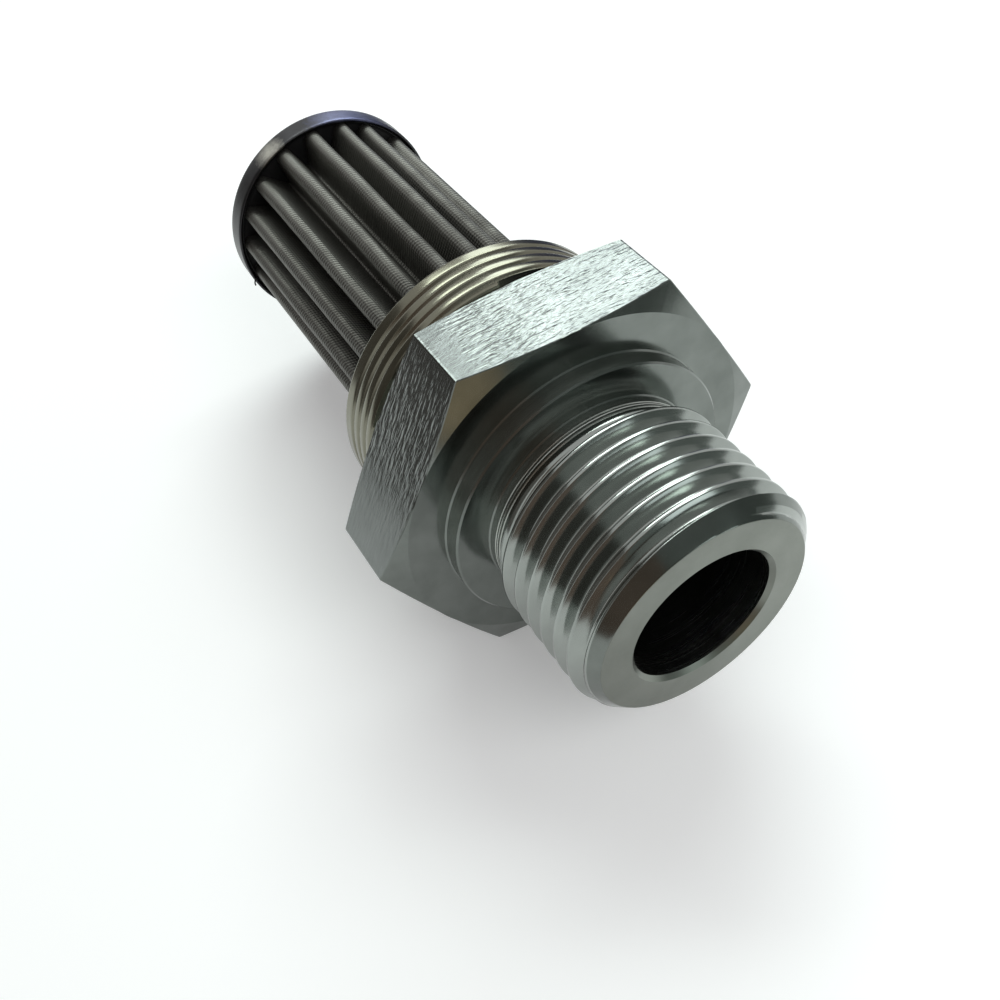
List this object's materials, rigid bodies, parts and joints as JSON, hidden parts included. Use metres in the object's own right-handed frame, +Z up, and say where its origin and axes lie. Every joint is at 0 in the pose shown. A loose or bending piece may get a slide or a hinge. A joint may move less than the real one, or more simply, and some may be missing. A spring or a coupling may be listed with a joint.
{
  "type": "hydraulic suction filter",
  "caption": "Hydraulic filter with a pleated metal mesh element behind a hexagonal fitting that has a threaded nipple and a fine-threaded collar.",
  "frame": {"origin": "on the surface that the filter lies on, under the middle of its length and width", "axes": "+X out of the mouth of the nipple along the filter's axis, +Z up from the hexagon flat that it rests on, +Y to the left when looking along +X"},
  "size_m": [0.0742, 0.0416, 0.036],
  "materials": {
    "zinc_plated_steel": "satin",
    "stainless_mesh": "satin",
    "cap_sheet_steel": "matte",
    "core_steel": "satin",
    "potting_resin": "matte"
  },
  "bodies": {
    "root": {"fitting_body": "zinc_plated_steel", "pleated_mesh": "stainless_mesh", "core_tube": "core_steel", "end_cap": "cap_sheet_steel", "cap_bond": "potting_resin", "socket_bond": "potting_resin"}
  },
  "joints": []
}
